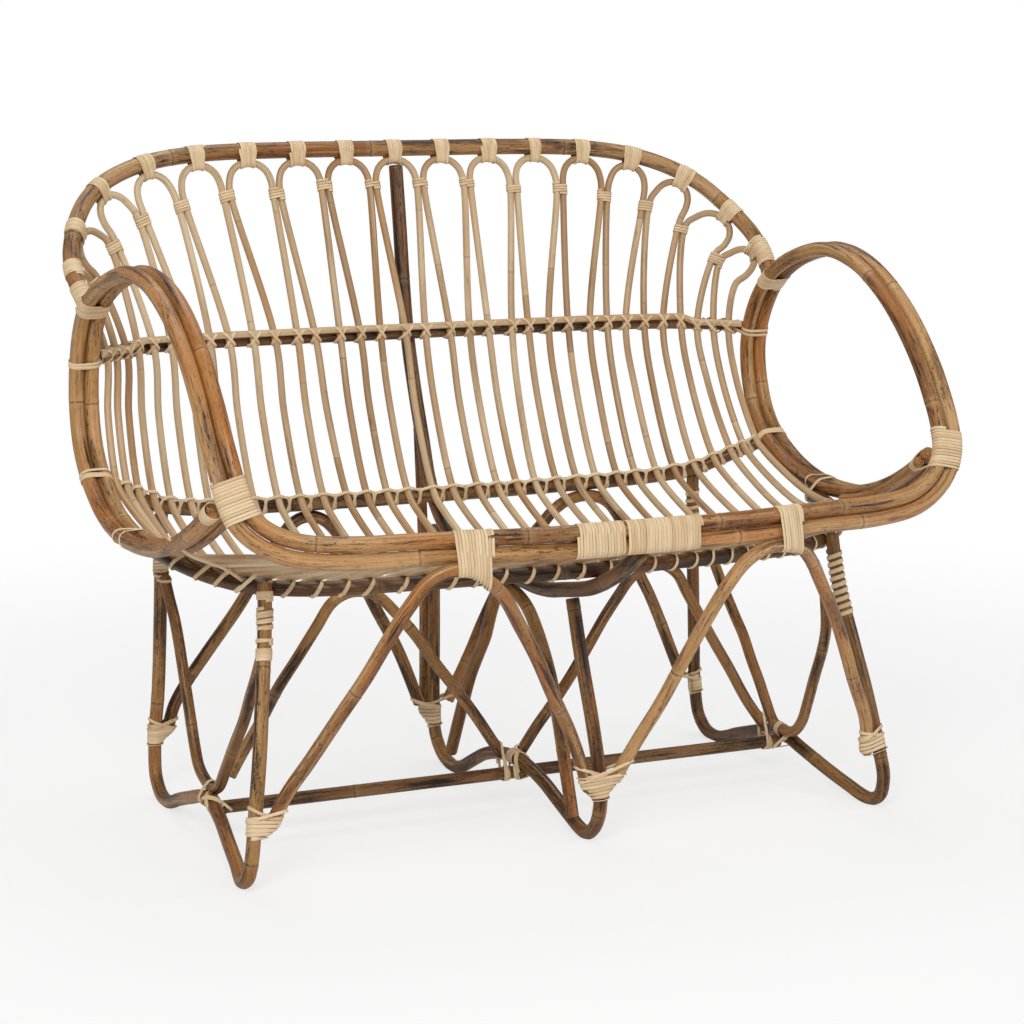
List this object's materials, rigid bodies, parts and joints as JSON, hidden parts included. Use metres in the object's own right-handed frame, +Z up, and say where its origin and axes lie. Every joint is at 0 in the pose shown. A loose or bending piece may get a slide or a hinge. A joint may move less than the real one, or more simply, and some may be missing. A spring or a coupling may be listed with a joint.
{
  "type": "rattan garden sofa",
  "caption": "Open garden sofa of bent rattan poles with looped arms, a strand seat that runs up into the backrest, and arched legs tied together with cane.",
  "frame": {"origin": "on the floor, below the middle of the sofa's outline", "axes": "+X to the sitter's left along the sofa's length, +Y to the back, +Z up"},
  "size_m": [1.1172, 0.8668, 0.926],
  "materials": {
    "pole": "varnished honey rattan pole",
    "dark_pole": "varnished brown rattan pole",
    "strand": "satin pale rattan core",
    "cane": "satin straw cane binding"
  },
  "bodies": {
    "root": {"arm_inner_pole_left": "pole", "arm_outer_pole_left": "pole", "arm_inner_pole_right": "pole", "arm_outer_pole_right": "pole", "seat_edge_pole_left": "pole", "seat_edge_pole_right": "pole", "stretcher": "pole", "leg_frame_left": "pole", "leg_frame_middle": "pole", "leg_frame_right": "pole", "v_brace_left": "pole", "v_brace_right": "pole", "front_arch_left": "pole", "front_arch_right": "pole", "rear_arch_left": "pole", "rear_arch_right": "pole", "inner_arch_left": "pole", "inner_arch_right": "pole", "depth_arch": "pole", "rear_centre_strut": "pole", "back_rim": "dark_pole", "back_rail": "dark_pole", "rear_seat_rail": "dark_pole", "front_seat_rail": "dark_pole", "centre_spine": "dark_pole", "hairpin_01": "strand", "hairpin_02": "strand", "hairpin_03": "strand", "hairpin_04": "strand", "hairpin_05": "strand", "hairpin_06": "strand", "hairpin_07": "strand", "hairpin_08": "strand", "hairpin_09": "strand", "hairpin_10": "strand", "hairpin_11": "strand", "hairpin_12": "strand", "hairpin_13": "strand", "hairpin_14": "strand", "hairpin_15": "strand", "hairpin_16": "strand", "hairpin_17": "strand", "corner_lashing_left": "cane", "corner_lashing_right": "cane", "rim_lashing_left": "cane", "rim_lashing_right": "cane", "arch_lashing_left": "cane", "arch_lashing_right": "cane", "centre_lashing": "cane", "front_foot_lashing_left": "cane", "front_foot_lashing_middle": "cane", "front_foot_lashing_right": "cane", "rear_foot_lashing_left": "cane", "rear_foot_lashing_middle": "cane", "rear_foot_lashing_right": "cane", "node_lashing_left": "cane", "node_lashing_middle": "cane", "node_lashing_right": "cane"}
  },
  "joints": []
}
